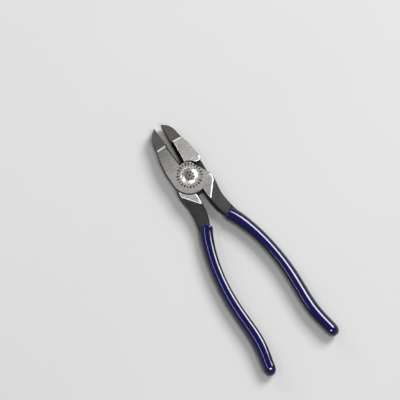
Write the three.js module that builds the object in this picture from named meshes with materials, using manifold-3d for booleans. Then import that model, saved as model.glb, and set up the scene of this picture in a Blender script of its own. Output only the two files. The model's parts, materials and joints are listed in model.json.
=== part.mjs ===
// Lineman's pliers, lying flat: two identical forged halves crossing in a riveted lap joint,
// each with a jaw at one end and a plastic-dipped handle at the other.
// Millimetres. The rivet's axis is Z, the nose points along +Y and the underside lies on Z = 0.
import * as THREE from "three";
import { mergeVertices } from "three/addons/utils/BufferGeometryUtils.js";
import Module from "manifold-3d";

const wasm = await Module();
wasm.setup();

// ---------------------------------------------------------------- driving dimensions

const headThickness = 16; // ground face to ground face
const restOpening = 7; // angle between the halves as the tool lies, in degrees

const noseReach = 52.5; // rivet axis to nose tip
const noseRootY = 33.5; // where the flat ground face breaks into the tapered nose
const noseTaper = 9; // slope of the nose faces, in degrees
const noseRootHalf = 10.4; // half width of the closed nose at its root
const jawHalf = 15.8; // half width of the closed jaws at their widest
const gripFaceGap = 0.15; // grip face to the centre plane with the knives shut
const knifeGap = 0.05; // knife edge to the centre plane with the knives shut

const knifeDepth = 1.75; // how far the knife stands out of its groove wall
const knifeRise = 1.6; // half height of the knife's bevels
const grooveLean = 0.25; // how much wider the groove is at the ground face
const throatGap = 0.4; // from the joint's throat arc to the knife groove

const toothPitch = 1.4;
const toothDepth = 0.55;

const discRadius = 16.2; // joint disc, on the side of the other half's handle
const throatRadius = 12.6; // joint disc, on the side of the other half's jaw
const discClearance = 0.6; // joint disc to the shoulders that turn round it
const lapClearance = 0.2; // between the two halves' faces in the lap joint
const shoulderY = 8.2; // foot of the jaw, where it stands on the other half's disc
const footRise = 0.9; // how far the foot's ends turn up
const heelChamfer = 1.4; // cut off the foot's outer corner

const rivetRadius = 5; // shank
const rivetHeadRadius = 7;
const rivetHeadDepth = 2.8; // length of each countersunk head
const rivetCrown = 0.4; // how far the front head is proud of the ground face
const rivetClearance = 0.1; // shank and heads to the bores

const shoulderTopY = -12.4; // where the handle is widest, beside the joint
const shoulderX = discRadius - 6.9; // its centre line there
const shoulderOuter = [16.5, -12.2]; // ends of the line across the handle where grinding stops
const shoulderInner = [2.6, -27.4];
const shoulderFall = 9; // slope of the forged face below that line, in degrees
const shoulderDrop = 2.7; // how far that face falls in all

const handleReach = 181.2; // rivet axis to the end of the forged handle, inside its grip
const handleThick = 5; // half thickness of the forged handle inside its grip
const gripWall = 1.5; // plastic at the sides of the handle
const gripWallFlat = 1.8; // plastic over the handle's faces
const gripMouthY = -45; // where the dipped plastic starts
const gripTipWall = 3.4; // plastic beyond the end of the forged handle
const gripBond = 0.15; // gap that stands for the bond between plastic and steel
const gripLip = 1; // length of the rolled mouth
const gripEndRound = 9; // length of the grip's rounded end
const coreEndRound = 2.4; // length of the forged handle's rounded end

// ---------------------------------------------------------------- helpers

const midPlane = headThickness / 2;
const coreEndY = -handleReach;
const farAway = 100; // a size that passes right through the tool
const arcPoints = 32; // points on each curve of an outline
const handleSides = 24; // facets round the forged handle
const handleSections = 34; // and along it
const gripSides = 28;
const gripSections = 28;
const endRings = 8; // rings in the grip's rounded end
const rad = THREE.MathUtils.degToRad;
const v2 = (x, y) => new THREE.Vector2(x, y);

// A closed three.js geometry as a manifold-3d solid.
function solid(geometry) {
  const bare = geometry.clone();
  bare.deleteAttribute("normal");
  bare.deleteAttribute("uv");
  const merged = mergeVertices(bare, 1e-4);
  const corners = merged.index.array;
  const faces = [];
  for (let i = 0; i < corners.length; i += 3) {
    const [a, b, c] = [corners[i], corners[i + 1], corners[i + 2]];
    if (a !== b && b !== c && c !== a) faces.push(a, b, c);
  }
  const vertProperties = merged.attributes.position.array;
  return new wasm.Manifold(
    new wasm.Mesh({ numProp: 3, vertProperties, triVerts: new Uint32Array(faces) }),
  );
}

// A manifold-3d solid back as a three.js geometry.
function geometryOf(body) {
  const mesh = body.getMesh();
  return new THREE.BufferGeometry()
    .setAttribute("position", new THREE.BufferAttribute(mesh.vertProperties, 3))
    .setIndex(new THREE.BufferAttribute(mesh.triVerts, 1));
}

// An outline in X and Y, standing from z = low to z = high.
function standing(points, low, high) {
  const geometry = new THREE.ExtrudeGeometry(new THREE.Shape(points), {
    depth: high - low,
    bevelEnabled: false,
  });
  return solid(geometry.translate(0, 0, low));
}

// An outline in Y and Z, running right across the head along X.
function acrossX(points) {
  const geometry = new THREE.ExtrudeGeometry(new THREE.Shape(points), {
    depth: 2 * farAway,
    bevelEnabled: false,
  });
  const turn = new THREE.Matrix4().makeBasis(
    new THREE.Vector3(0, 1, 0),
    new THREE.Vector3(0, 0, 1),
    new THREE.Vector3(1, 0, 0),
  );
  return solid(geometry.applyMatrix4(turn).translate(-farAway, 0, 0));
}

// An outline in X and Z, running along Y from low to high.
function alongY(points, low, high) {
  const geometry = new THREE.ExtrudeGeometry(new THREE.Shape(points), {
    depth: high - low,
    bevelEnabled: false,
  });
  return solid(geometry.rotateX(Math.PI / 2).translate(0, high, 0));
}

// A round solid about the rivet's axis, from a profile of [radius, z] pairs.
function turned(pairs, sides = 48) {
  const profile = pairs.map(([radius, z]) => v2(radius, z));
  return solid(new THREE.LatheGeometry(profile, sides).rotateX(Math.PI / 2));
}

// Points on an arc about the rivet's axis, between two angles in degrees.
function arc(radius, from, to, count = arcPoints) {
  const points = [];
  for (let i = 0; i <= count; i++) {
    const angle = rad(from + ((to - from) * i) / count);
    points.push(v2(radius * Math.cos(angle), radius * Math.sin(angle)));
  }
  return points;
}

const mirrored = (points) => points.map((p) => v2(p.x, headThickness - p.y));

// ---------------------------------------------------------------- the jaw

// Outer edge of the left jaw, from its side to the tip.
function jawEdge() {
  const curve = new THREE.SplineCurve([
    v2(-discRadius, 0),
    v2(-jawHalf - 0.2, shoulderY),
    v2(-jawHalf + 0.7, 0.48 * noseRootY),
    v2(-(jawHalf + noseRootHalf) / 2, 0.78 * noseRootY),
    v2(-noseRootHalf, noseRootY + 0.5),
    v2(-0.8 * noseRootHalf, noseReach - 9),
    v2(-0.48 * noseRootHalf, noseReach - 3.2),
    v2(-gripFaceGap, noseReach),
  ]);
  return curve.getPoints(arcPoints);
}

// The jaw at full thickness stands on the other half's disc, behind a shoulder that clears it.
function jawBlock() {
  const shoulderRadius = throatRadius + discClearance;
  const cornerAngle = 180 - THREE.MathUtils.radToDeg(Math.asin((shoulderY + footRise) / shoulderRadius));
  const throatSide = arc(shoulderRadius, 91, cornerAngle, 12);
  const corner = throatSide[throatSide.length - 1];
  const heel = v2(-jawHalf + heelChamfer, shoulderY);
  const outline = [
    v2(-knifeGap, shoulderRadius),
    ...throatSide,
    v2((corner.x + heel.x) / 2, shoulderY),
    heel,
    v2(-jawHalf + 0.2, shoulderY + footRise),
    ...jawEdge().filter((p) => p.y > shoulderY + 2 * footRise),
    v2(-knifeGap, noseReach),
  ];
  return standing(outline, 0, headThickness);
}

// What is ground away from the jaw: nose tapers, grip face, knife grooves and teeth.
function jawCuts() {
  const cuts = [];
  const fall = farAway * Math.tan(rad(noseTaper));
  const taper = [
    v2(noseRootY, headThickness),
    v2(noseRootY + farAway, headThickness - fall),
    v2(noseRootY + farAway, headThickness + farAway),
    v2(noseRootY, headThickness + farAway),
  ];
  cuts.push(acrossX(taper), acrossX(mirrored(taper)));

  const gripFace = [
    v2(-gripFaceGap, -1),
    v2(1, -1),
    v2(1, headThickness + 1),
    v2(-gripFaceGap, headThickness + 1),
  ];
  cuts.push(alongY(gripFace, noseRootY - toothPitch / 2, noseReach + 1));

  const groove = [
    v2(-knifeGap, midPlane),
    v2(1, midPlane),
    v2(1, headThickness + 1),
    v2(-knifeGap - knifeDepth - grooveLean, headThickness + 1),
    v2(-knifeGap - knifeDepth, midPlane + knifeRise),
  ];
  const grooveFrom = throatRadius + throatGap;
  cuts.push(alongY(groove, grooveFrom, noseRootY), alongY(mirrored(groove), grooveFrom, noseRootY));

  for (let y = noseRootY + toothPitch; y < noseReach - toothPitch; y += toothPitch) {
    const tooth = [
      v2(1, y - toothPitch / 2),
      v2(1, y + toothPitch / 2),
      v2(-gripFaceGap, y + toothPitch / 2.6),
      v2(-gripFaceGap - toothDepth, y),
      v2(-gripFaceGap, y - toothPitch / 2.6),
    ];
    cuts.push(standing(tooth, -1, headThickness + 1));
  }
  return cuts;
}

// ---------------------------------------------------------------- the handle

// Heights between the shoulder and the grip's mouth, and from there to the end of the handle.
const neck = (share) => shoulderTopY + share * (gripMouthY - shoulderTopY);
const down = (share) => gripMouthY + share * (coreEndY - gripMouthY);

// Stations down the handle: its centre line, half width and half thickness. Above the shoulder
// line it is thicker than the head, so that the ground face runs out onto it.
const stations = [
  { at: [shoulderX - 0.4, shoulderTopY + 5], half: 7.3, thick: midPlane + 1.6 },
  { at: [shoulderX, shoulderTopY], half: 7.4, thick: midPlane + 1.6 },
  { at: [shoulderX - 0.3, neck(0.17)], half: 6.9, thick: midPlane + 1.4 },
  { at: [shoulderX - 1.1, neck(0.36)], half: 6.4, thick: midPlane + 1 },
  { at: [shoulderX - 1.3, neck(0.54)], half: 6.3, thick: midPlane + 0.2 },
  { at: [8.6, neck(0.755)], half: 6.1, thick: handleThick + 1.9 },
  { at: [10.1, neck(0.97)], half: 5.6, thick: handleThick + 0.7 },
  { at: [12.2, down(0.051)], half: 4.9, thick: handleThick + 0.1 },
  { at: [15.4, down(0.125)], half: 4.5, thick: handleThick },
  { at: [19.5, down(0.27)], half: 4.2, thick: handleThick },
  { at: [21.2, down(0.42)], half: 4.2, thick: handleThick },
  { at: [20.8, down(0.565)], half: 4.4, thick: handleThick },
  { at: [18.8, down(0.71)], half: 4.5, thick: handleThick },
  { at: [18.2, down(0.785)], half: 4.6, thick: handleThick },
  { at: [18.6, down(0.86)], half: 4.5, thick: handleThick },
  { at: [20.0, down(0.935)], half: 4.3, thick: handleThick - 0.1 },
  { at: [21.0, coreEndY], half: 4.1, thick: handleThick - 0.4 },
  { at: [21.4, coreEndY - gripTipWall], half: 3.9, thick: handleThick - 0.6 },
];
const spine = new THREE.CatmullRomCurve3(stations.map((s) => new THREE.Vector3(...s.at, 0)));
const sizes = new THREE.CatmullRomCurve3(stations.map((s) => new THREE.Vector3(s.half, s.thick, 0)));

// Where along the spine (0 to 1) it passes a height y.
function passes(y) {
  let [low, high] = [0, 1];
  for (let i = 0; i < 40; i++) {
    const middle = (low + high) / 2;
    if (spine.getPoint(middle).y > y) low = middle;
    else high = middle;
  }
  return low;
}

// The same full section at even steps along the spine.
function fullSections(from, to, count) {
  const profile = [];
  for (let i = 0; i <= count; i++) profile.push([from + ((to - from) * i) / count, 1]);
  return profile;
}

const onAxis = (value) => (Math.abs(value) < 1e-6 ? 0 : value);

// A bar along the spine. The profile gives [place along the spine, share of the full section];
// side and flat are added to the half width and to the half thickness.
function bar(profile, side, flat, sides, square) {
  const ends = [[profile[0][0], 0], ...profile, [profile[profile.length - 1][0], 0]];
  const geometry = new THREE.LatheGeometry(
    ends.map(([place, share]) => v2(share, place)),
    sides,
  );
  const position = geometry.attributes.position;
  for (let i = 0; i < position.count; i++) {
    const place = position.getY(i);
    const share = Math.hypot(position.getX(i), position.getZ(i));
    const angle = Math.atan2(position.getZ(i), position.getX(i));
    const along = spine.getTangent(place);
    const size = sizes.getPoint(place);
    const centre = spine.getPoint(place);
    const [c, s] = [onAxis(Math.cos(angle)), onAxis(Math.sin(angle))];
    const power = 2 / (c > 0 ? square.outer : square.inner);
    const across = Math.sign(c) * Math.abs(c) ** power;
    const reach = share * across * (size.x + side);
    const lift = share * Math.sign(s) * Math.abs(s) ** power * (size.y + flat);
    position.setXYZ(i, centre.x - along.y * reach, centre.y + along.x * reach, midPlane - lift);
  }
  return solid(geometry);
}

const forged = { inner: 5, outer: 4 }; // squareness of the steel's corners, 2 is an ellipse
const dipped = { inner: 3.2, outer: 2.5 }; // the plastic rounds them off

// The forged handle, from inside the joint to its end in the grip.
function handleCore() {
  const profile = [
    ...fullSections(0, passes(coreEndY + coreEndRound), handleSections),
    [passes(coreEndY + coreEndRound / 3), 0.9],
    [passes(coreEndY), 0.6],
  ];
  return bar(profile, 0, 0, handleSides, forged);
}

// What the forging lacks beyond the shoulder line: a wedge that falls away from the ground face.
function shoulderWedge() {
  const along = v2(...shoulderInner).sub(v2(...shoulderOuter));
  const run = shoulderDrop / Math.tan(rad(shoulderFall));
  const section = [
    v2(0, 0),
    v2(run, -shoulderDrop),
    v2(farAway, -shoulderDrop),
    v2(farAway, farAway),
    v2(0, farAway),
  ];
  const geometry = new THREE.ExtrudeGeometry(new THREE.Shape(section), {
    depth: 2 * farAway,
    bevelEnabled: false,
  });
  geometry.rotateX(Math.PI / 2).translate(0, farAway, 0);
  geometry.rotateZ(along.angle() + Math.PI / 2);
  return solid(geometry.translate(...shoulderInner, headThickness));
}

// The room that the grip leaves for the forged handle, running out past the grip's mouth.
function gripRoom() {
  const profile = fullSections(passes(gripMouthY + gripWall * 4), passes(coreEndY - gripBond), gripSections);
  return bar(profile, gripBond, gripBond, handleSides, forged);
}

// The dipped grip: a skin with a rolled mouth and a rounded end.
function grip() {
  const tipY = coreEndY - gripTipWall;
  const roundFrom = passes(tipY + gripEndRound);
  const profile = [
    [passes(gripMouthY), 0.94],
    [passes(gripMouthY - gripLip / 3), 0.985],
    ...fullSections(passes(gripMouthY - gripLip), roundFrom, gripSections),
  ];
  for (let i = 1; i < endRings; i++) {
    const angle = (Math.PI / 2) * (i / endRings);
    profile.push([roundFrom + (1 - roundFrom) * Math.sin(angle), Math.cos(angle)]);
  }
  const skin = bar(profile, gripWall, gripWallFlat, gripSides, dipped);
  return skin.subtract(gripRoom());
}

// ---------------------------------------------------------------- the joint

// The upper half of the joint: it carries the jaw across the rivet to the handle.
function jointPlate() {
  const chordTop = arc(throatRadius, 90, 52, 14);
  const outline = [
    v2(-knifeGap - knifeDepth, noseRootY),
    v2(-knifeGap - knifeDepth, throatRadius),
    ...chordTop,
    v2(discRadius - 0.3, shoulderTopY + 4.4),
    v2(stations[0].at[0], shoulderTopY - 1.6),
    ...arc(discRadius, 279, 181, 40),
    ...jawEdge().filter((p) => p.y < noseRootY),
  ];
  return standing(outline, midPlane + lapClearance / 2, headThickness);
}

// Bore and countersink for the rivet, from the lap plane up.
function rivetBore() {
  const bore = rivetRadius + rivetClearance;
  const sink = rivetHeadRadius + rivetClearance;
  return turned([
    [0, -1],
    [bore, -1],
    [bore, headThickness - rivetHeadDepth],
    [sink, headThickness],
    [sink, headThickness + 1],
    [0, headThickness + 1],
  ]);
}

// One forged half, jaw to the left and handle to the right.
function half() {
  const everywhere = [
    v2(-farAway, coreEndY - farAway),
    v2(farAway, coreEndY - farAway),
    v2(farAway, farAway),
    v2(-farAway, farAway),
  ];
  const slab = standing(everywhere, 0, headThickness);
  const turningRoom = turned([
    [0, -1],
    [discRadius + discClearance, -1],
    [discRadius + discClearance, midPlane + lapClearance / 2],
    [0, midPlane + lapClearance / 2],
  ], 96);
  const wedge = shoulderWedge();
  const wedgeUnder = wedge.mirror([0, 0, 1]).translate([0, 0, headThickness]);
  const handle = handleCore().intersect(slab).subtract(wedge).subtract(wedgeUnder).subtract(turningRoom);
  const jaw = jawCuts().reduce((block, cut) => block.subtract(cut), jawBlock());
  return jaw.add(jointPlate()).add(handle).subtract(rivetBore());
}

// The rivet: two countersunk heads on one shank, crowned in front and ground flush behind.
function rivet() {
  const crown = [];
  for (let i = 0; i <= 6; i++) {
    const share = 1 - i / 6;
    crown.push([rivetHeadRadius * share, headThickness + rivetCrown * (1 - share * share)]);
  }
  return turned([
    [0, 0],
    [rivetHeadRadius, 0],
    [rivetRadius, rivetHeadDepth],
    [rivetRadius, headThickness - rivetHeadDepth],
    ...crown,
  ]);
}

// ---------------------------------------------------------------- assembly

const groundSteel = new THREE.MeshStandardMaterial({ color: 0x9a9792, metalness: 1, roughness: 0.38 });
const rivetSteel = new THREE.MeshStandardMaterial({ color: 0xb4b0a8, metalness: 1, roughness: 0.3 });
const navyPlastic = new THREE.MeshStandardMaterial({ color: 0x1a1852, metalness: 0, roughness: 0.18 });

function part(name, body, material) {
  const mesh = new THREE.Mesh(geometryOf(body), material);
  mesh.name = name;
  return mesh;
}

const forging = half();
const dippedGrip = grip();

// Half and grip as one body. The second half is the first one turned over about the long axis.
function side(name, turnedOver) {
  const pieces = new THREE.Group();
  pieces.add(part(name, forging, groundSteel));
  pieces.add(part(`${name}_grip`, dippedGrip, navyPlastic));
  if (turnedOver) {
    pieces.rotation.y = Math.PI;
    pieces.position.z = headThickness;
  }
  const placed = new THREE.Group();
  placed.add(pieces);
  placed.rotation.z = rad(turnedOver ? -restOpening / 2 : restOpening / 2);
  return placed;
}

const pliers = new THREE.Group();
pliers.add(side("front_half", false));
pliers.add(side("rear_half", true));
pliers.add(part("joint_rivet", rivet(), rivetSteel));

export default pliers;
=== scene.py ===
# %% [markdown]
# # Lineman's pliers
#
# Two forged halves cross in a riveted lap joint. Each has a jaw with a knife and teeth at one
# end, and a handle dipped in glossy navy plastic at the other. The engineering model gives every
# size and place. Here its pieces get their fine surface: broken edges, ground and blackened
# steel, a turned rivet, a stamped ring of marks, and smooth plastic.

import json
import math

import bmesh
import bpy
import numpy as np
from mathutils import Matrix, Vector


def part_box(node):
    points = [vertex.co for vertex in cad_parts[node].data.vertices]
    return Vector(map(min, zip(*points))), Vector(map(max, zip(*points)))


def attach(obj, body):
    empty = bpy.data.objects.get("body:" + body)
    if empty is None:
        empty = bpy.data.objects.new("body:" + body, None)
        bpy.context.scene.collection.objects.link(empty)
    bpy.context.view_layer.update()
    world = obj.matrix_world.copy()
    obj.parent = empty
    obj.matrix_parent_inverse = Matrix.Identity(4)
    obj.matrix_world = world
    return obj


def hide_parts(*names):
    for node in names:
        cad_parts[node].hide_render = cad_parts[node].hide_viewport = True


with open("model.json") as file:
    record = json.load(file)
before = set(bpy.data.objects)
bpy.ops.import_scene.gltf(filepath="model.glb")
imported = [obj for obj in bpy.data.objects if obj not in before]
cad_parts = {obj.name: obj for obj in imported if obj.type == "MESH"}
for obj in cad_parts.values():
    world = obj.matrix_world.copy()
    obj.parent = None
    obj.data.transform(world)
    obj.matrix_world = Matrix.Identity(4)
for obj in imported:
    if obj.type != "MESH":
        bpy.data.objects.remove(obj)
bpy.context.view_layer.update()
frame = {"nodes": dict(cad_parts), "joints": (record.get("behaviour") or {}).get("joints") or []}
MM = 0.001
print("frame nodes:", sorted(frame["nodes"]))

# %% [markdown]
# The tool lies flat with the rivet's axis on Z and the nose towards +Y. Both halves have one
# shape: the rear one is the front one turned over about the long axis. So everything is worked
# out once, for the front half with the jaws shut, and then placed by a matrix. How far each half
# is turned from shut comes from the joint: its low limit is the shut position.

# %% Place both halves
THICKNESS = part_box("front_half")[1].z
MID = THICKNESS / 2
SHUT = -math.radians(frame["joints"][0]["range_deg"][0]) / 2
FRONT = Matrix.Rotation(SHUT, 4, "Z")
TURN_OVER = Matrix.Translation((0, 0, THICKNESS)) @ Matrix.Rotation(math.pi, 4, "Y")
REAR = Matrix.Rotation(-SHUT, 4, "Z") @ TURN_OVER
PLACES = {"front_half": FRONT, "rear_half": REAR}
print("head thickness", round(THICKNESS / MM, 2), "mm, open by", round(2 * math.degrees(SHUT), 1))

# %% [markdown]
# ## Finishes
#
# Every finish is made of nodes. They need no picture files, and they stay sharp at any distance.
# Most of these helpers add one kind of node, set it and link it, so that a finish can be read in
# a few lines. The last one starts a new material.

# %% Node helpers
def add(tree, kind, **settings):
    """A new shader node of one kind, with its settings."""
    made = tree.nodes.new("ShaderNode" + kind)
    for name, value in settings.items():
        setattr(made, name, value)
    return made


def ramp(tree, source, low, high, low_value=0.0, high_value=1.0):
    """A Map Range node from low..high to low_value..high_value, fed by source."""
    made = add(tree, "MapRange")
    names = ("From Min", "From Max", "To Min", "To Max")
    for name, value in zip(names, (low, high, low_value, high_value)):
        made.inputs[name].default_value = value
    tree.links.new(source, made.inputs["Value"])
    return made.outputs[0]


def noise(tree, vector, scale, detail=3.0):
    """Noise from 0 to 1. scale is in cells for each metre."""
    made = add(tree, "TexNoise")
    made.inputs["Scale"].default_value = scale
    made.inputs["Detail"].default_value = detail
    tree.links.new(vector, made.inputs["Vector"])
    return made.outputs["Fac"]


def blend(tree, factor, dark, light):
    """A colour between two, chosen by factor."""
    made = add(tree, "Mix", data_type="RGBA")
    made.inputs["A"].default_value = (*dark, 1)
    made.inputs["B"].default_value = (*light, 1)
    tree.links.new(factor, made.inputs["Factor"])
    return made.outputs["Result"]


def bump(tree, height, depth, strength):
    """A normal from a height. depth is in metres."""
    made = add(tree, "Bump")
    made.inputs["Distance"].default_value = depth
    made.inputs["Strength"].default_value = strength
    tree.links.new(height, made.inputs["Height"])
    return made.outputs["Normal"]


def new_material(name, metallic, **constants):
    """A material with a Principled shader. Returns the material, its tree and the shader."""
    made = bpy.data.materials.new(name)
    made.use_nodes = True
    shader = made.node_tree.nodes["Principled BSDF"]
    shader.inputs["Metallic"].default_value = metallic
    for socket_name, value in constants.items():
        shader.inputs[socket_name.replace("_", " ")].default_value = value
    return made, made.node_tree, shader


HELPERS = (add, ramp, noise, blend, bump, new_material)
print("helpers:", ", ".join(helper.__name__ for helper in HELPERS))

# %% [markdown]
# Steel that has been on a belt grinder shows fine parallel scratches. They change its roughness
# and its normal a little, and hardly its colour. The same scratches serve the ground faces, the
# nose and the rivet, so they are one node group with inputs for their length, fineness and
# depth. Noise stretched along one axis gives scratches without an end or a repeat. Most values
# of a noise lie near its middle, so only that span of them is used.

# %% Grinding scratches, as a node group
SCRATCH_LENGTH = 220.0
SCRATCH_FINENESS = 3600.0
SCRATCH_DEPTH = 0.12
SCRATCH_RELIEF = 0.02 * MM
NOISE_SPAN = (0.3, 0.7)
CLOUD_SPAN = (0.35, 0.65)
CLOUD_SCALE = 110.0
CLOUD_DETAIL = 5.0


def grinding_group():
    """Scratches along X of the given vector, a cloudy tone, and a normal."""
    group = bpy.data.node_groups.new("grinding", "ShaderNodeTree")
    sockets = group.interface.new_socket
    sockets(name="Vector", in_out="INPUT", socket_type="NodeSocketVector")
    values = (SCRATCH_LENGTH, SCRATCH_FINENESS, SCRATCH_DEPTH)
    for name, value in zip(("Length", "Fineness", "Depth"), values):
        sockets(name=name, in_out="INPUT", socket_type="NodeSocketFloat").default_value = value
    for name in ("Scratches", "Tone"):
        sockets(name=name, in_out="OUTPUT", socket_type="NodeSocketFloat")
    sockets(name="Normal", in_out="OUTPUT", socket_type="NodeSocketVector")
    inputs = group.nodes.new("NodeGroupInput")
    outputs = group.nodes.new("NodeGroupOutput")
    stretch = add(group, "CombineXYZ")
    for source, axis in (("Length", "X"), ("Fineness", "Y"), ("Fineness", "Z")):
        group.links.new(inputs.outputs[source], stretch.inputs[axis])
    scaled = add(group, "VectorMath", operation="MULTIPLY")
    group.links.new(inputs.outputs["Vector"], scaled.inputs[0])
    group.links.new(stretch.outputs[0], scaled.inputs[1])
    scratches = ramp(group, noise(group, scaled.outputs[0], 1.0), *NOISE_SPAN)
    clouds = noise(group, inputs.outputs["Vector"], CLOUD_SCALE, CLOUD_DETAIL)
    tone = ramp(group, clouds, *CLOUD_SPAN)
    relief = add(group, "Bump")
    relief.inputs["Distance"].default_value = SCRATCH_RELIEF
    group.links.new(inputs.outputs["Depth"], relief.inputs["Strength"])
    group.links.new(scratches, relief.inputs["Height"])
    for value, name in ((scratches, "Scratches"), (tone, "Tone"), (relief.outputs[0], "Normal")):
        group.links.new(value, outputs.inputs[name])
    return group


GRINDING = grinding_group()
print("grinding group:", len(GRINDING.nodes), "nodes")

# %% [markdown]
# Ground steel is bright but not a mirror. The scratches run across the jaws, so the pattern is
# turned with each half. The colour moves a little between two close greys, and the roughness
# follows the scratches. The faces are brightest round the joint, and greyer towards the nose and
# the handles.

# %% Ground steel
JOINT_TONE_SPAN = (9 * MM, 30 * MM)
SMOOTHER = 0.03
ROUGHER = 0.04


def joint_tone(tree, place, far_tone):
    """1 round the joint, falling to far_tone at the far end of the span."""
    axes = add(tree, "SeparateXYZ")
    tree.links.new(place, axes.inputs[0])
    reach = add(tree, "Math", operation="ABSOLUTE")
    tree.links.new(axes.outputs["Y"], reach.inputs[0])
    return ramp(tree, reach.outputs[0], *JOINT_TONE_SPAN, 1.0, far_tone)


def ground_steel(
    name, dark, light, rough,
    turn=0.0, length=SCRATCH_LENGTH, fineness=SCRATCH_FINENESS, far_tone=1.0,
):
    """Steel between two greys. Its scratches have length and fineness in cells a metre."""
    made, tree, shader = new_material(name, 1.0)
    place = add(tree, "TexCoord").outputs["Object"]
    mapping = add(tree, "Mapping")
    mapping.inputs["Rotation"].default_value = (0, 0, turn)
    tree.links.new(place, mapping.inputs["Vector"])
    grinding = add(tree, "Group", node_tree=GRINDING)
    values = (("Length", length), ("Fineness", fineness), ("Depth", SCRATCH_DEPTH))
    for socket_name, value in values:
        grinding.inputs[socket_name].default_value = value
    tree.links.new(mapping.outputs[0], grinding.inputs["Vector"])
    share = add(tree, "Mix", data_type="FLOAT")
    share.inputs["Factor"].default_value = 0.5
    tree.links.new(grinding.outputs["Scratches"], share.inputs["A"])
    tree.links.new(grinding.outputs["Tone"], share.inputs["B"])
    grey = blend(tree, share.outputs["Result"], dark, light)
    toned = add(tree, "VectorMath", operation="SCALE")
    tree.links.new(grey, toned.inputs[0])
    tree.links.new(joint_tone(tree, place, far_tone), toned.inputs["Scale"])
    tree.links.new(toned.outputs[0], shader.inputs["Base Color"])
    scratches = grinding.outputs["Scratches"]
    polish = ramp(tree, scratches, 0, 1, rough - SMOOTHER, rough + ROUGHER)
    tree.links.new(polish, shader.inputs["Roughness"])
    tree.links.new(grinding.outputs["Normal"], shader.inputs["Normal"])
    return made


print("brightest to", round(JOINT_TONE_SPAN[0] / MM), "mm on either side of the rivet")

# %% [markdown]
# The one in front is a warm mid grey, and the one behind is paler. The nose is ground less and
# stays brown-grey. The broken edges are painted near white, as a painted highlight, and the knife
# bevels and the faces that the other half hides are painted nearly black, as painted shade. The
# rivet was hammered, so its marks have no direction.

# %% The steels of the head
WARM_GREY = ((0.46, 0.44, 0.42), (0.55, 0.53, 0.5))
PALE_GREY = ((0.6, 0.58, 0.545), (0.7, 0.675, 0.635))
FACE_FRONT = ground_steel("ground_face_front", *WARM_GREY, 0.27, turn=SHUT, far_tone=0.58)
FACE_REAR = ground_steel("ground_face_rear", *PALE_GREY, 0.27, turn=-SHUT, far_tone=0.78)
NOSE = ground_steel("nose_face", (0.18, 0.162, 0.15), (0.25, 0.225, 0.21), 0.3, length=160.0)
# Painted shade: the knife bevels are painted nearly black, as if in the other jaw's shadow.
SHADED_KNIFE = ground_steel("knife_bevel_painted_shade", (0.07, 0.075, 0.08), (0.13, 0.135, 0.14), 0.3, fineness=2600.0)
# Painted shade: the faces that the other half hides are painted nearly black.
SHADED_INNER = ground_steel("joint_inner_face_painted_shade", (0.02, 0.02, 0.02), (0.05, 0.05, 0.05), 0.35)
# Painted highlight: the broken edges are painted near white, brighter than the faces beside them.
EDGE_HIGHLIGHT = ground_steel("broken_edge_painted_highlight", (0.85, 0.83, 0.8), (0.95, 0.93, 0.9), 0.32)
HAMMERED = {"length": 1300.0, "fineness": 1300.0}
RIVET = ground_steel("turned_rivet", (0.36, 0.34, 0.32), (0.6, 0.57, 0.53), 0.24, **HAMMERED)
RIVET_RIM = ground_steel("rivet_rim", (0.5, 0.48, 0.45), (0.72, 0.7, 0.66), 0.27, **HAMMERED)
print("steels:", len(bpy.data.materials))

# %% [markdown]
# The forging keeps its dark skin wherever it isn't ground: a charcoal oxide with a fine sandy
# texture. Oxide isn't a metal, so it is not metallic. The stamped marks hold the same dark skin.

# %% Blackened forging
SAND_SCALE = 1400.0
SAND_DEPTH = 0.08 * MM
SAND_STRENGTH = 0.35
PATCH_SCALE = 120.0
PATCH_SPAN = (0.35, 0.68)
OXIDE_ROUGHNESS = (0.36, 0.52)


def blackened_forging(name, dark, light):
    """Matt dark oxide with sandy grain and slow patches between two colours."""
    made, tree, shader = new_material(name, 0.0, Specular_IOR_Level=0.2)
    place = add(tree, "TexCoord").outputs["Object"]
    sand = noise(tree, place, SAND_SCALE, detail=4.0)
    patches = ramp(tree, noise(tree, place, PATCH_SCALE, detail=5.0), *PATCH_SPAN)
    tree.links.new(blend(tree, patches, dark, light), shader.inputs["Base Color"])
    tree.links.new(ramp(tree, sand, *NOISE_SPAN, *OXIDE_ROUGHNESS), shader.inputs["Roughness"])
    tree.links.new(bump(tree, sand, SAND_DEPTH, SAND_STRENGTH), shader.inputs["Normal"])
    return made


FORGING = blackened_forging("blackened_forging", (0.008, 0.008, 0.0095), (0.02, 0.0195, 0.0205))
WALL = blackened_forging("black_side_wall", (0.012, 0.0118, 0.0125), (0.026, 0.0255, 0.0265))
STAMPED = blackened_forging("stamped_mark", (0.006, 0.005, 0.004), (0.02, 0.016, 0.012))
print("dark skins:", FORGING.name, WALL.name, STAMPED.name)

# %% [markdown]
# The grips were dipped in liquid plastic, so they are smooth and very glossy. Only a slow
# unevenness of the skin shows, as a slight waver in the highlights. Towards the sides of a grip
# the navy is painted almost black, as painted shade. Each point of a grip carries how far it is
# to the side, and that drives the painted shade.

# %% Dipped navy plastic
NAVY = ((0.0013, 0.001, 0.043), (0.0022, 0.0018, 0.056))
NAVY_PAINTED_SHADE = (0.0004, 0.0004, 0.004)
SIDE_SHADE_RANGE = (0.45, 0.85)
SKIN_SCALE = 160.0
SKIN_WAVER = 0.05 * MM
SKIN_STRENGTH = 0.1
SKIN_ROUGHNESS = (0.07, 0.12)


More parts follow.
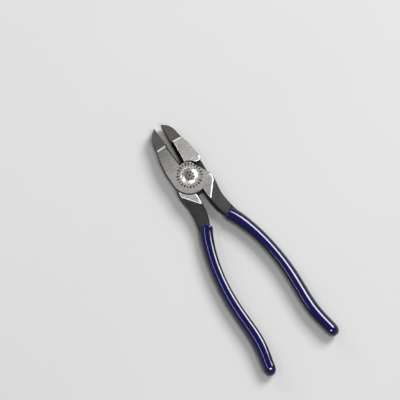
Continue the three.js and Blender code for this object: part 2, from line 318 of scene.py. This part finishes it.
def dipped_plastic():
    """Glossy navy, with painted shade that makes it nearly black at the sides of a grip."""
    made, tree, shader = new_material("dipped_plastic", 0.0, IOR=1.55)
    place = add(tree, "TexCoord").outputs["Object"]
    skin = noise(tree, place, SKIN_SCALE, detail=2.0)
    side = add(tree, "Attribute", attribute_name="side").outputs["Fac"]
    # Painted shade: towards the sides of a grip the navy turns nearly black.
    shaded_sides = add(tree, "Mix", data_type="RGBA")
    tree.links.new(ramp(tree, side, *SIDE_SHADE_RANGE), shaded_sides.inputs["Factor"])
    tree.links.new(blend(tree, skin, *NAVY), shaded_sides.inputs["A"])
    shaded_sides.inputs["B"].default_value = (*NAVY_PAINTED_SHADE, 1)
    tree.links.new(shaded_sides.outputs["Result"], shader.inputs["Base Color"])
    tree.links.new(ramp(tree, skin, *NOISE_SPAN, *SKIN_ROUGHNESS), shader.inputs["Roughness"])
    tree.links.new(bump(tree, skin, SKIN_WAVER, SKIN_STRENGTH), shader.inputs["Normal"])
    return made


PLASTIC = dipped_plastic()
print("finishes:", len(bpy.data.materials))

# %% [markdown]
# ## The two halves
#
# The engineering mesh of a half already has every face in the right place, but its edges are
# knife sharp and each flat face is many triangles. A copy is merged, tiny edges are collapsed,
# and flat faces are dissolved to single polygons. A polygon can't have a hole, so the ground
# face is first cut in two through the rivet's bore. The Z of a face's normal tells how level the
# face is, from 1 for level to 0 for upright.

# %% Merge a half's mesh
LEVEL = 0.9999
SHORT = 0.3 * MM
TOUCHING = 0.002 * MM
FLAT = math.radians(0.3)
BORE_CUT = (0.3, 1, 0)
ON_THE_CUT = 1e-8


def tidy_flats(shape, levels):
    """Collapse tiny edges, put the level faces back on their levels and dissolve the flats."""
    bmesh.ops.remove_doubles(shape, verts=shape.verts, dist=TOUCHING)
    bmesh.ops.dissolve_limit(shape, angle_limit=FLAT, verts=shape.verts, edges=shape.edges)
    bmesh.ops.triangulate(shape, faces=shape.faces)
    bmesh.ops.dissolve_degenerate(shape, edges=shape.edges, dist=SHORT)
    for vert in shape.verts:
        for level in levels:
            if abs(vert.co.z - level) < SHORT / 2:
                vert.co.z = level
    everything = shape.verts[:] + shape.edges[:] + shape.faces[:]
    cut = bmesh.ops.bisect_plane(
        shape, geom=everything, plane_co=(0, 0, 0), plane_no=BORE_CUT, dist=ON_THE_CUT
    )
    for item in cut["geom_cut"]:
        if isinstance(item, bmesh.types.BMEdge):
            item.seam = all(abs(face.normal.z) > LEVEL for face in item.link_faces)
    bmesh.ops.dissolve_limit(
        shape, angle_limit=FLAT, verts=shape.verts, edges=shape.edges, delimit={"SEAM"}
    )


print("flats are dissolved below", round(math.degrees(FLAT), 1), "degrees")

# %% [markdown]
# A face's finish follows from where it is and where it faces: the ground faces are level and at
# the outside of the head, the nose falls away from them, the knife bevels lean and are painted
# dark as shade, and everything that the other half hides is painted nearly black, as shade.

# %% Give each face its finish
SLOTS = {"face": 0, "forging": 1, "nose": 2, "knife": 3, "inner": 4, "edge": 5, "wall": 6}
NEARLY_LEVEL = 0.9
STEEP = 0.5
NOSE_ROOT = 33.3 * MM
KNIFE_FROM = 12.8 * MM
KNIFE_SIDE = -2.1 * MM
WALLS_FROM = -12 * MM


def face_kind(face):
    """Which of the slots a face of the half belongs to, with the jaws shut."""
    normal = face.normal
    centre = face.calc_center_median()
    outside = centre.z > THICKNESS - SHORT / 2 or centre.z < SHORT / 2
    if abs(normal.z) > LEVEL and outside:
        return "face"
    if centre.y > NOSE_ROOT and abs(normal.z) > NEARLY_LEVEL:
        return "nose"
    if centre.y > KNIFE_FROM and centre.x > KNIFE_SIDE:
        return "knife" if STEEP < abs(normal.z) < NEARLY_LEVEL else "inner"
    if abs(normal.z) > LEVEL:
        return "inner"
    return "wall" if centre.y > WALLS_FROM and abs(normal.z) < STEEP else "forging"


print("kinds of face:", ", ".join(SLOTS))

# %% [markdown]
# No edge of a real tool is perfectly sharp. A bevel weight on each edge says how far it is
# broken: wide where the ground face rolls over to the nose or the handle, and along the heel,
# less where it meets a side wall, only a little on every other sharp edge, the knife's among
# them, and not at all on the teeth. It is also only a little at the tip of the nose and by the
# step at the knife's foot, where wide bevels would run into each other.

# %% Say how far each edge is broken
SHARP = math.radians(28)
SLIGHT = math.radians(4)
WIDE, MEDIUM, NARROW = 1.0, 0.45, 0.2
TEETH_X = -1.2 * MM
NOSE_TIP_Y = 50 * MM
HEEL_X = -10.5 * MM
HEEL_Y = (8 * MM, 11.6 * MM)
KNIFE_STEP = (-1.9 * MM, 13 * MM)
STEP_ROOM = 1 * MM


def at_heel(point):
    """Whether a point is on the outer heel of the jaw, whose edge is ground back."""
    return point.x < HEEL_X and HEEL_Y[0] < point.y < HEEL_Y[1] and point.z < MID


def bevel_weight(edge):
    """A share of the widest bevel for an edge, or 0 where nothing is broken."""
    if len(edge.link_faces) != 2:
        return 0.0
    kinds = {face.material_index for face in edge.link_faces}
    middle = (edge.verts[0].co + edge.verts[1].co) / 2
    turn = edge.calc_face_angle(0)
    ground = bool({SLOTS["face"], SLOTS["nose"]} & kinds)
    if kinds in ({SLOTS["face"], SLOTS["nose"]}, {SLOTS["face"], SLOTS["forging"]}):
        if SLIGHT < turn < SHARP:
            return WIDE
    if turn < SHARP or not edge.is_convex or edge.calc_length() < SHORT:
        return 0.0
    if middle.y > NOSE_ROOT and middle.x > TEETH_X:
        return 0.0
    clear_of_step = (middle.xy - Vector(KNIFE_STEP)).length > STEP_ROOM
    if ground and middle.y < NOSE_TIP_Y and clear_of_step:
        return WIDE if at_heel(middle) else MEDIUM
    return NARROW


print("shares of the widest bevel:", WIDE, MEDIUM, NARROW)

# %% [markdown]
# Both halves are now read from the engineering model and turned back to where the front one is
# with the jaws shut. Each is merged, and every face and edge is told what it is. The level faces
# of a half are its two outsides and the lap, which sits a small gap above the middle.

# %% Read both halves
LAP_GAP = 0.1 * MM


def half_mesh(node_name):
    """The half's merged mesh, lying as the front one does with the jaws shut."""
    shape = bmesh.new()
    shape.from_mesh(frame["nodes"][node_name].data)
    shape.transform(PLACES[node_name].inverted())
    tidy_flats(shape, (0, MID + LAP_GAP, THICKNESS))
    for face in shape.faces:
        face.material_index = SLOTS[face_kind(face)]
    weight = shape.edges.layers.float.new("bevel_weight_edge")
    for edge in shape.edges:
        edge[weight] = bevel_weight(edge)
    mesh = bpy.data.meshes.new(node_name + "_shut")
    shape.to_mesh(mesh)
    shape.free()
    print(node_name, "merged to", len(mesh.polygons), "faces")
    return mesh


HALVES = {node_name: half_mesh(node_name) for node_name in PLACES}

# %% [markdown]
# Tools of this kind are stamped with a ring of marks round the rivet. Here it is a plain pattern
# of dots and dashes. Geometry Nodes set one small cutter on each point of a circle, every third
# one round and the rest long, and a Boolean modifier will sink them all into the ground face at
# once. The tree's inputs are its sizes, so the same tree also marks the rivet's head.

# %% A ring of cutters, by Geometry Nodes
RING_SIZES = {"Radius": 10.3 * MM, "Length": 2.6 * MM, "Width": 1.45 * MM, "Depth": 0.8 * MM}
RING_COUNT = 24
DOT_EVERY = 3
CUTTER_SIDES = 12


def ring_sockets(tree):
    """The tree's inputs, with the sizes of the big ring as their defaults, and its output."""
    new = tree.interface.new_socket
    for name, value in RING_SIZES.items():
        new(name=name, in_out="INPUT", socket_type="NodeSocketFloat").default_value = value
    new(name="Count", in_out="INPUT", socket_type="NodeSocketInt").default_value = RING_COUNT
    new(name="Height", in_out="INPUT", socket_type="NodeSocketFloat")
    new(name="Material", in_out="INPUT", socket_type="NodeSocketMaterial")
    new(name="Geometry", in_out="OUTPUT", socket_type="NodeSocketGeometry")


def packed(tree, **parts):
    """A vector whose X, Y and Z come from sockets."""
    made = add(tree, "CombineXYZ")
    for axis, source in parts.items():
        tree.links.new(source, made.inputs[axis])
    return made.outputs[0]


def outward_turn(tree, index, count):
    """The rotation that points a cutter away from the middle of the ring."""
    step = add(tree, "Math", operation="DIVIDE")
    step.inputs[0].default_value = 2 * math.pi
    tree.links.new(count, step.inputs[1])
    angle = add(tree, "Math", operation="MULTIPLY")
    tree.links.new(index, angle.inputs[0])
    tree.links.new(step.outputs[0], angle.inputs[1])
    return packed(tree, Z=angle.outputs[0])


def dots_and_dashes(tree, index):
    """Two choices of points: every third one for a dot, and the rest for dashes."""
    remainder = add(tree, "Math", operation="MODULO")
    remainder.inputs[1].default_value = DOT_EVERY
    tree.links.new(index, remainder.inputs[0])
    dot = tree.nodes.new("FunctionNodeCompare")
    dot.operation = "LESS_THAN"
    dot.inputs["B"].default_value = 0.5
    tree.links.new(remainder.outputs[0], dot.inputs["A"])
    dash = tree.nodes.new("FunctionNodeBooleanMath")
    dash.operation = "NOT"
    tree.links.new(dot.outputs[0], dash.inputs[0])
    return dot.outputs[0], dash.outputs[0]


def placed_cutters(tree, **inputs):
    """A cylinder, 1 across and 1 tall, on each chosen point. inputs are the sockets it takes."""
    cutter = tree.nodes.new("GeometryNodeMeshCylinder")
    cutter.inputs["Vertices"].default_value = CUTTER_SIDES
    cutter.inputs["Radius"].default_value = 0.5
    cutter.inputs["Depth"].default_value = 1.0
    placed = tree.nodes.new("GeometryNodeInstanceOnPoints")
    tree.links.new(cutter.outputs["Mesh"], placed.inputs["Instance"])
    for name, source in inputs.items():
        tree.links.new(source, placed.inputs[name])
    return placed.outputs[0]


def ring_tree():
    """Cutters on a circle, each turned to point away from the middle."""
    tree = bpy.data.node_groups.new("ring_of_marks", "GeometryNodeTree")
    ring_sockets(tree)
    new, link = tree.nodes.new, tree.links.new
    given = new("NodeGroupInput").outputs
    circle = new("GeometryNodeMeshCircle")
    link(given["Count"], circle.inputs["Vertices"])
    link(given["Radius"], circle.inputs["Radius"])
    raised = new("GeometryNodeTransform")
    link(circle.outputs[0], raised.inputs["Geometry"])
    link(packed(tree, Z=given["Height"]), raised.inputs["Translation"])
    index = new("GeometryNodeInputIndex").outputs[0]
    turn = outward_turn(tree, index, given["Count"])
    join = new("GeometryNodeJoinGeometry")
    for chosen, along in zip(dots_and_dashes(tree, index), ("Width", "Length")):
        size = packed(tree, X=given[along], Y=given["Width"], Z=given["Depth"])
        points = raised.outputs[0]
        cutters = placed_cutters(tree, Points=points, Selection=chosen, Rotation=turn, Scale=size)
        link(cutters, join.inputs[0])
    real = new("GeometryNodeRealizeInstances")
    link(join.outputs[0], real.inputs[0])
    finish = new("GeometryNodeSetMaterial")
    link(real.outputs[0], finish.inputs["Geometry"])
    link(given["Material"], finish.inputs["Material"])
    link(finish.outputs[0], new("NodeGroupOutput").inputs[0])
    return tree


RING = ring_tree()
print("ring tree:", len(RING.nodes), "nodes")

# %% [markdown]
# A modifier keeps its shape only for as long as it stays on the object. For a finished piece,
# the shape that the modifiers give is copied out as a plain mesh, and the rough object goes.
# The inputs of a Geometry Nodes modifier are set by each socket's identifier, not by its name.

# %% Turn modifiers into plain meshes
def plain_object(thing, name):
    """The evaluated object as a plain mesh object, with no modifiers left."""
    bpy.context.view_layer.update()
    evaluated = thing.evaluated_get(bpy.context.evaluated_depsgraph_get())
    mesh = bpy.data.meshes.new_from_object(evaluated)
    bpy.data.objects.remove(thing)
    mesh.name = name
    return mesh_object(mesh, name)


def mesh_object(mesh, name):
    """A new object in the scene, at the origin."""
    made = bpy.data.objects.new(name, mesh)
    bpy.context.scene.collection.objects.link(made)
    return made


def ring_of_marks(name, **sizes):
    """The ring as a plain mesh object. sizes are the tree's inputs."""
    carrier = mesh_object(bpy.data.meshes.new(name + "_carrier"), name + "_carrier")
    nodes = carrier.modifiers.new("ring", "NODES")
    nodes.node_group = RING
    for item in RING.interface.items_tree:
        if item.in_out == "INPUT" and item.name in sizes:
            nodes[item.identifier] = sizes[item.name]
    return plain_object(carrier, name)


print("ring of", RING_COUNT, "marks, radius", round(RING_SIZES["Radius"] / MM, 1), "mm")

# %% [markdown]
# A bevel's new faces take their neighbour's finish, but a broken edge has its own. Where the
# ground face only rolls over, to the nose or to the handle, and at the heel, the edge is painted
# near white as a painted highlight. Where it meets a side wall, the black skin comes right up to
# it, and by the knife and the teeth the edge is painted dark as shade. The bevel's faces are the
# narrow ones that lean, close to the outside.

# %% Paint highlights and shade on the broken edges
BROKEN = 0.6 * MM
WIDEST_STRIP = 1.2 * BROKEN
SKIN_DEEP = 0.0001 * MM
GRINDING_ENDS = -26.5 * MM
LEANS_FROM = 0.15
ROLLS_FROM = 0.95


def is_broken_edge(mesh, face):
    """Whether a face was made by the bevel beside a ground face."""
    depth = min(THICKNESS - face.center.z, face.center.z)
    leans = LEANS_FROM < abs(face.normal.z) < LEVEL
    sides = [mesh.edges[mesh.loops[k].edge_index].vertices for k in face.loop_indices]
    longest = max((mesh.vertices[a].co - mesh.vertices[b].co).length for a, b in sides)
    narrow = face.area / longest < WIDEST_STRIP
    shallow = SKIN_DEEP < depth < BROKEN / 2
    return leans and narrow and shallow and face.center.y > GRINDING_ENDS


def paint_edge_highlight_and_shade(mesh):
    """Painted highlight where the ground face rolls over, dark skin or painted shade elsewhere."""
    for face in mesh.polygons:
        if is_broken_edge(mesh, face):
            by_teeth = face.center.x > KNIFE_SIDE and face.center.y > KNIFE_FROM
            rolls_over = abs(face.normal.z) > ROLLS_FROM and not by_teeth
            # Painted highlight on rolled edges and the heel; black skin at walls, painted shade by
            # the teeth.
            bright = rolls_over or at_heel(face.center)
            face.material_index = SLOTS["edge" if bright else "wall"]


print("widest broken edge", round(WIDEST_STRIP / MM, 2), "mm")

# %% [markdown]
# The modifiers run in the order of the work on the real part: break the edges, stamp the marks,
# then smooth the shading. Weighted normals let the large flat faces stay flat, so that only the
# broken edges catch the light. The half is finished with the jaws shut, and placed afterwards.

# %% Finish both halves
SMOOTH_BELOW = math.radians(40)
FLAT_FACES_LEAD = 80


def finished_half(node_name, name, face_finish):
    """A half with broken edges and stamped marks, in its place."""
    thing = mesh_object(HALVES[node_name], name + "_rough")
    for finish in (face_finish, FORGING, NOSE, SHADED_KNIFE, SHADED_INNER, EDGE_HIGHLIGHT, WALL, STAMPED):
        thing.data.materials.append(finish)
    bevel = thing.modifiers.new("broken_edges", "BEVEL")
    bevel.limit_method = "WEIGHT"
    bevel.width = BROKEN
    bevel.segments = 2
    bevel.use_clamp_overlap = False
    marks = ring_of_marks(name + "_marks", Height=THICKNESS, Material=STAMPED)
    stamp = thing.modifiers.new("stamp", "BOOLEAN")
    stamp.operation = "DIFFERENCE"
    stamp.solver = "EXACT"
    stamp.material_mode = "TRANSFER"
    stamp.object = marks
    made = plain_object(thing, name + "_stamped")
    bpy.data.objects.remove(marks)
    paint_edge_highlight_and_shade(made.data)
    made.data.transform(PLACES[node_name])
    made.data.shade_smooth()
    made.data.set_sharp_from_angle(angle=SMOOTH_BELOW)
    weighted = made.modifiers.new("weighted", "WEIGHTED_NORMAL")
    weighted.keep_sharp = True
    weighted.weight = FLAT_FACES_LEAD
    made = plain_object(made, name)
    print(name, len(made.data.polygons), "faces")
    return made


front = finished_half("front_half", "front_forging", FACE_FRONT)
rear = finished_half("rear_half", "rear_forging", FACE_REAR)
ROWS = ((front, "front_body", "front_half"), (rear, "rear_body", "rear_half"))
for piece, body, replaced in ROWS:
    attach(piece, body)
    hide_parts(replaced)

# %% [markdown]
# ## The rivet
#
# The rivet is hammered into a countersink on each side and turned flush. Its front head keeps a
# low crown: a flat middle, a sloping rim that catches the light, and a fine groove where it meets
# the plate. A profile of radius and height is spun round Z. Where the profile touches the axis
# it has one point instead of a ring, so that both ends close without a hole.

# %% Spin a profile
TURNS = 96


def ring_of_points(shape, radius, height):
    """The points of one ring, or the single point on the axis."""
    if radius == 0:
        return [shape.verts.new((0, 0, height))]
    angles = [2 * math.pi * k / TURNS for k in range(TURNS)]
    places = [(radius * math.cos(a), radius * math.sin(a), height) for a in angles]
    return [shape.verts.new(place) for place in places]


def spun(name, profile):
    """A solid of revolution about Z. The profile runs from the axis to the axis."""
    shape = bmesh.new()
    rings = [ring_of_points(shape, radius, height) for radius, height in profile]
    for low, high in zip(rings, rings[1:]):
        for k in range(TURNS):
            after = (k + 1) % TURNS
            corners = [low[k % len(low)], low[after % len(low)]]
            corners += [high[after % len(high)], high[k % len(high)]]
            shape.faces.new(list(dict.fromkeys(corners)))
    bmesh.ops.recalc_face_normals(shape, faces=shape.faces)
    mesh = bpy.data.meshes.new(name)
    shape.to_mesh(mesh)
    shape.free()
    return mesh


print("sides of the rivet:", TURNS)

# %% [markdown]
# The profile goes up from the rear head, which is flush, along the shank, and out to the front
# head. The middle of the front head has a punch mark. The rim and the punch mark have their own
# finishes, chosen by where each face is. Small marks are then stamped in a ring, with the same
# tree as before.

# %% Make the rivet
RIVET_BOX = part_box("joint_rivet")
HEAD = RIVET_BOX[1].x
CROWN_TOP = RIVET_BOX[1].z
SHANK = 5 * MM
HEAD_DEPTH = 2.8 * MM
RIM_FALL = 0.65 * MM
FLAT_PART = 0.7 * HEAD
CHAMFER = 0.15 * MM
RIM_INSET = 0.2 * MM
RIM_STEP = 0.1 * MM
ROLL = 0.1 * MM
ROLL_FALL = 0.04 * MM
PUNCH_TOP = 0.16 * HEAD
PUNCH_FLOOR = 0.1 * HEAD
PUNCH_DEPTH = 0.2 * MM
PUNCH_MARK = 0.17 * HEAD
SLIVER = 0.005 * MM
RIM_CREASE = math.radians(25)
RIVET_FINISHES = (RIVET, STAMPED, RIVET_RIM)
HEAD_MARKS = {"Radius": 0.44 * HEAD, "Length": 2.4 * MM, "Width": 1.2 * MM, "Count": 8}


def rivet_profile():
    """Radius and height, from the middle of the rear head to the middle of the front head."""
    return [
        (0, 0),
        (HEAD - CHAMFER, 0),
        (HEAD, CHAMFER),
        (SHANK, HEAD_DEPTH),
        (SHANK, THICKNESS - HEAD_DEPTH),
        (HEAD - CHAMFER, CROWN_TOP - RIM_FALL - RIM_STEP),
        (HEAD - RIM_INSET, CROWN_TOP - RIM_FALL),
        (FLAT_PART + ROLL, CROWN_TOP - ROLL_FALL),
        (FLAT_PART - ROLL, CROWN_TOP),
        (PUNCH_TOP, CROWN_TOP),
        (PUNCH_FLOOR, CROWN_TOP - PUNCH_DEPTH),
        (0, CROWN_TOP - PUNCH_DEPTH),
    ]


def paint_rivet(mesh):
    """The rim and the punch mark have finishes of their own."""
    for finish in RIVET_FINISHES:
        mesh.materials.append(finish)
    for face in mesh.polygons:
        from_axis = math.hypot(face.center.x, face.center.y)
        if NEARLY_LEVEL < face.normal.z < LEVEL and from_axis > FLAT_PART:
            face.material_index = RIVET_FINISHES.index(RIVET_RIM)
        if from_axis < PUNCH_MARK and face.normal.z > 0:
            face.material_index = RIVET_FINISHES.index(STAMPED)


def drop_slivers(mesh):
    """Remove the faces without area that cutting the marks leaves."""
    shape = bmesh.new()
    shape.from_mesh(mesh)
    bmesh.ops.triangulate(shape, faces=shape.faces)
    bmesh.ops.dissolve_degenerate(shape, edges=shape.edges, dist=SLIVER)
    shape.to_mesh(mesh)
    shape.free()


def rivet():
    """The turned rivet with its stamped marks."""
    mesh = spun("joint_rivet_turned", rivet_profile())
    paint_rivet(mesh)
    thing = mesh_object(mesh, "joint_rivet_rough")
    marks = ring_of_marks("rivet_marks", Height=CROWN_TOP, Material=STAMPED, **HEAD_MARKS)
    stamp = thing.modifiers.new("stamp", "BOOLEAN")
    stamp.solver = "EXACT"
    stamp.material_mode = "TRANSFER"
    stamp.object = marks
    made = plain_object(thing, "turned_joint_rivet")
    bpy.data.objects.remove(marks)
    drop_slivers(made.data)
    made.data.shade_smooth()
    made.data.set_sharp_from_angle(angle=RIM_CREASE)
    return made


joint_rivet = rivet()
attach(joint_rivet, "front_body")
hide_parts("joint_rivet")
print("rivet", len(joint_rivet.data.polygons), "faces")

# %% [markdown]
# ## The grips
#
# Dipping leaves one smooth skin with a soft rolled mouth and a blunt round end. The engineering
# solid is sliced at many heights, and a smooth curve is fitted through the middles and the half
# sizes of the slices. A rounded section is then swept along that curve. That follows the solid
# without copying its facets, which would show in such a glossy skin. The slices stop short of
# both ends, where the solid is rounded.

# %% Measure a grip
SLICES = 90
FIT_DEGREE = 9
MOUTH_Y = -45 * MM
MOUTH_MARGIN = 8 * MM
END_MARGIN = 10.4 * MM
SKIN_MARGIN = 0.22 * MM


def slice_box(mesh, place_back, y):
    """Lowest and highest X and Z of the mesh where it crosses a height y of the shut half."""
    xs, zs = [], []
    points = [place_back @ vert.co for vert in mesh.vertices]
    for edge in mesh.edges:
        a, b = points[edge.vertices[0]], points[edge.vertices[1]]
        if (a.y - y) * (b.y - y) < 0:
            point = a.lerp(b, (y - a.y) / (b.y - a.y))
            xs.append(point.x)
            zs.append(point.z)
    return min(xs), max(xs), min(zs), max(zs)


def measured_grip(node_name):
    """Smooth functions of y for a grip's middle and half sizes, its end, and the last slice."""
    mesh = frame["nodes"][node_name].data
    back = PLACES[node_name.removesuffix("_grip")].inverted()
    end = min((back @ vert.co).y for vert in mesh.vertices) + SKIN_MARGIN / 2
    heights = np.linspace(MOUTH_Y - MOUTH_MARGIN, end + END_MARGIN, SLICES)
    boxes = np.array([slice_box(mesh, back, y) for y in heights])
    fit = np.polynomial.Polynomial.fit
    middle = fit(heights, (boxes[:, 0] + boxes[:, 1]) / 2, FIT_DEGREE)
    lean = np.cos(np.arctan(middle.deriv()(heights)))
    half_width = fit(heights, (boxes[:, 1] - boxes[:, 0]) / 2 * lean - SKIN_MARGIN, FIT_DEGREE)
    half_thick = fit(heights, (boxes[:, 3] - boxes[:, 2]) / 2, FIT_DEGREE)
    return middle, half_width, half_thick, end, heights[-1]


MIDDLE, HALF_WIDTH, HALF_THICK, GRIP_END, LAST_SLICE = measured_grip("front_half_grip")
SLOPE = MIDDLE.deriv()
print("grip ends at y =", round(GRIP_END / MM, 1), "mm")

# %% [markdown]
# The profile of the sweep is a list of rings. Each has a height on the curve, its share of the
# full section, and how much of the wall is taken off it. The share grows round the end, the wall
# comes off round the lip at the mouth, and the rings then run back down the inside, where the
# steel is. The section is a squared-off ellipse, squarer on the side towards the other handle.

# %% The rings of a grip
GRIP_SIDES = 64
GRIP_RINGS = 150
LIP_RINGS = 8
END_RINGS = 14
INSIDE_RINGS = 60
LIP_LENGTH = 0.8 * MM
END_ROUND = 7 * MM
END_SQUARE = 0.85
STEEL_END = 3.4 * MM
WALL_SIDE = 1.4 * MM
WALL_FLAT = 1.7 * MM
SKIN_POWER = {"inner": 3.6, "outer": 2.05}
ROOM_POWER = {"inner": 5, "outer": 4}


def section_point(angle, half_width, half_thick, power):
    """A point of a squared-off ellipse. Its side towards the other handle is squarer."""
    c, s = math.cos(angle), math.sin(angle)
    n = 2 / (power["outer"] if c > 0 else power["inner"])
    across = math.copysign(abs(c) ** n, c) * half_width
    up = math.copysign(abs(s) ** n, s) * half_thick
    return across, up


def grip_rings():
    """(height, share of the section, share of the wall taken off) from the tip to the inside."""
    rings = []
    for k in range(1, END_RINGS):
        angle = math.pi / 2 * k / END_RINGS
        height = GRIP_END + END_ROUND * (1 - math.cos(angle))
        rings.append((height, math.sin(angle) ** END_SQUARE, 0))
    start, top = GRIP_END + END_ROUND, MOUTH_Y - LIP_LENGTH
    rings += [(start + (top - start) * k / GRIP_RINGS, 1, 0) for k in range(GRIP_RINGS + 1)]
    for k in range(1, LIP_RINGS + 1):
        angle = math.pi * k / LIP_RINGS
        rings.append((top + LIP_LENGTH * math.sin(angle), 1, (1 - math.cos(angle)) / 2))
    length = GRIP_END + STEEL_END - top
    rings += [(top + length * k / INSIDE_RINGS, 1, 1) for k in range(1, INSIDE_RINGS + 1)]
    return rings


print("rings in a grip:", len(grip_rings()))

# %% [markdown]
# Each ring is set square to the curve. Beyond the last slice the curve goes straight on and the
# section keeps its size, because a fitted curve can't be trusted outside its points. Both ends
# close in a single point. The distance to the side is kept on each point, for the painted shade.

# %% Sweep both grips
def grip_middle(y):
    """The middle of the grip at a height of y."""
    held = max(y, LAST_SLICE)
    return Vector((MIDDLE(held) + SLOPE(held) * (y - held), y, MID))


def grip_ring(shape, side, y, share, off):
    """The points of one ring. off is the share of the wall that is taken off."""
    held = max(y, LAST_SLICE)
    along = Vector((SLOPE(held), 1, 0)).normalized()
    sideways = Vector((along.y, -along.x, 0))
    wide = share * HALF_WIDTH(held) - off * WALL_SIDE
    thick = share * HALF_THICK(held) - off * WALL_FLAT
    power = {k: SKIN_POWER[k] + off * (ROOM_POWER[k] - SKIN_POWER[k]) for k in SKIN_POWER}
    ring = []
    for k in range(GRIP_SIDES):
        angle = 2 * math.pi * (k + 0.5) / GRIP_SIDES
        across, up = section_point(angle, wide, thick, power)
        vert = shape.verts.new(grip_middle(y) + sideways * across + Vector((0, 0, up)))
        # How far to the side, which drives the painted shade at the sides.
        vert[side] = abs(across) / wide
        ring.append(vert)
    return ring


def join_rings(shape, grid):
    """Faces between each ring and the next."""
    for low, high in zip(grid, grid[1:]):
        for k in range(GRIP_SIDES):
            after = (k + 1) % GRIP_SIDES
            shape.faces.new((low[k], low[after], high[after], high[k]))


def close_ring(shape, ring, y):
    """Faces from a ring to a single point at a height of y."""
    pole = shape.verts.new(grip_middle(y))
    for k in range(GRIP_SIDES):
        shape.faces.new((ring[k], ring[(k + 1) % GRIP_SIDES], pole))


def dipped_grip(place, name):
    """One grip as a closed skin, in its place."""
    shape = bmesh.new()
    side = shape.verts.layers.float.new("side")
    grid = [grip_ring(shape, side, *row) for row in grip_rings()]
    join_rings(shape, grid)
    close_ring(shape, grid[0], GRIP_END)
    close_ring(shape, grid[-1], GRIP_END + STEEL_END)
    shape.transform(place)
    bmesh.ops.recalc_face_normals(shape, faces=shape.faces)
    mesh = bpy.data.meshes.new(name)
    shape.to_mesh(mesh)
    shape.free()
    mesh.shade_smooth()
    mesh.materials.append(PLASTIC)
    print(name, len(mesh.polygons), "faces")
    return mesh_object(mesh, name)


for half, body in (("front_half", "front_body"), ("rear_half", "rear_body")):
    grip = dipped_grip(PLACES[half], half.replace("half", "dipped_grip"))
    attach(grip, body)
    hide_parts(half + "_grip")

# %% [markdown]
# ## Stage
#
# The tool lies on a plain pale floor. Its tone wanders a little, as paper does.

# %% Floor
FLOOR_HALF = 3
PAPER = ((0.445, 0.445, 0.445), (0.465, 0.465, 0.465))
PAPER_SCALE = 6.0


def floor():
    """A square of matt paper at the height that the tool lies on."""
    shape = bmesh.new()
    bmesh.ops.create_grid(shape, x_segments=1, y_segments=1, size=FLOOR_HALF)
    mesh = bpy.data.meshes.new("floor")
    shape.to_mesh(mesh)
    shape.free()
    paper, tree, shader = new_material("pale_paper", 0.0, Roughness=0.9, Specular_IOR_Level=0.1)
    place = add(tree, "TexCoord").outputs["Object"]
    tone = blend(tree, noise(tree, place, PAPER_SCALE), *PAPER)
    tree.links.new(tone, shader.inputs["Base Color"])
    mesh.materials.append(paper)
    made = mesh_object(mesh, "floor")
    print("floor", round(2 * max(vert.co.x for vert in mesh.vertices), 2), "m across")


floor()

# %% [markdown]
# The camera looks down from 13 degrees off the vertical, so the tool is seen almost from above
# and its near walls just show. It is far away with a long lens, so that nothing is stretched.

# %% Camera
AZIMUTH = math.radians(-32.25)
ELEVATION = math.radians(77)
DISTANCE = 1.5
FRAME_WIDTH = 0.3448
SIDEWAYS = 0.009
DOWNWARD = 0.0211


def camera():
    """A camera that looks at a point beside the rivet, so the whole tool is in the frame."""
    lens = bpy.data.cameras.new("camera")
    made = bpy.data.objects.new("camera", lens)
    bpy.context.scene.collection.objects.link(made)
    back = Vector((
        math.sin(AZIMUTH) * math.cos(ELEVATION),
        -math.cos(AZIMUTH) * math.cos(ELEVATION),
        math.sin(ELEVATION),
    ))
    turn = (-back).to_track_quat("-Z", "Y")
    right, up = turn @ Vector((1, 0, 0)), turn @ Vector((0, 1, 0))
    made.location = Vector((0, 0, THICKNESS)) + back * DISTANCE + right * SIDEWAYS - up * DOWNWARD
    made.rotation_mode = "QUATERNION"
    made.rotation_quaternion = turn
    lens.lens = lens.sensor_width * DISTANCE / FRAME_WIDTH
    lens.clip_end = 10
    bpy.context.scene.camera = made
    print("lens", round(lens.lens), "mm")


camera()

# %% [markdown]
# Glossy things show their lights. The large key softbox on the right draws the long bright line
# along each grip, and throws the shadows to the left. A thin strip on the left draws a fainter
# second line. A small softbox high up over the handles puts a glint on the round ends and lights
# the gap between the jaws. One beyond the nose, low down, lights the jaws' walls. The sky fills
# in the rest, and is brighter near the horizon.

# %% Lights and sky
HORIZON = 0.45
ZENITH = 0.15
AIM = (0, -0.06, 0)


def area_light(name, place, size, power):
    """A rectangular softbox, turned to the tool. size and place are in metres, power in watts."""
    light = bpy.data.lights.new(name, "AREA")
    light.shape = "RECTANGLE"
    light.size, light.size_y = size
    light.energy = power
    made = bpy.data.objects.new(name, light)
    bpy.context.scene.collection.objects.link(made)
    made.location = place
    made.rotation_euler = (Vector(AIM) - Vector(place)).to_track_quat("-Z", "Y").to_euler()


def sky():
    """A grey sky that is brighter near the horizon."""
    world = bpy.data.worlds.new("studio")
    bpy.context.scene.world = world
    world.use_nodes = True
    tree = world.node_tree
    height = add(tree, "SeparateXYZ")
    tree.links.new(add(tree, "TexCoord").outputs["Generated"], height.inputs[0])
    background = tree.nodes["Background"].inputs
    background["Color"].default_value = (1, 1, 1, 1)
    strength = ramp(tree, height.outputs["Z"], 0, 1, HORIZON, ZENITH)
    tree.links.new(strength, background["Strength"])


sky()
area_light("key_softbox", place=(1.83, 0.38, 2.33), size=(1.2, 1.5), power=103)
area_light("top_softbox", place=(0, -0.9, 2.25), size=(0.5, 0.5), power=22)
area_light("left_strip", place=(-1.2, 0.57, 2.67), size=(1.1, 0.2), power=10)
area_light("nose_softbox", place=(-0.4, 1.9, 0.9), size=(1.0, 0.8), power=12)
bpy.context.scene.view_settings.view_transform = "Standard"
print("lights:", ", ".join(sorted(light.name for light in bpy.data.lights)))
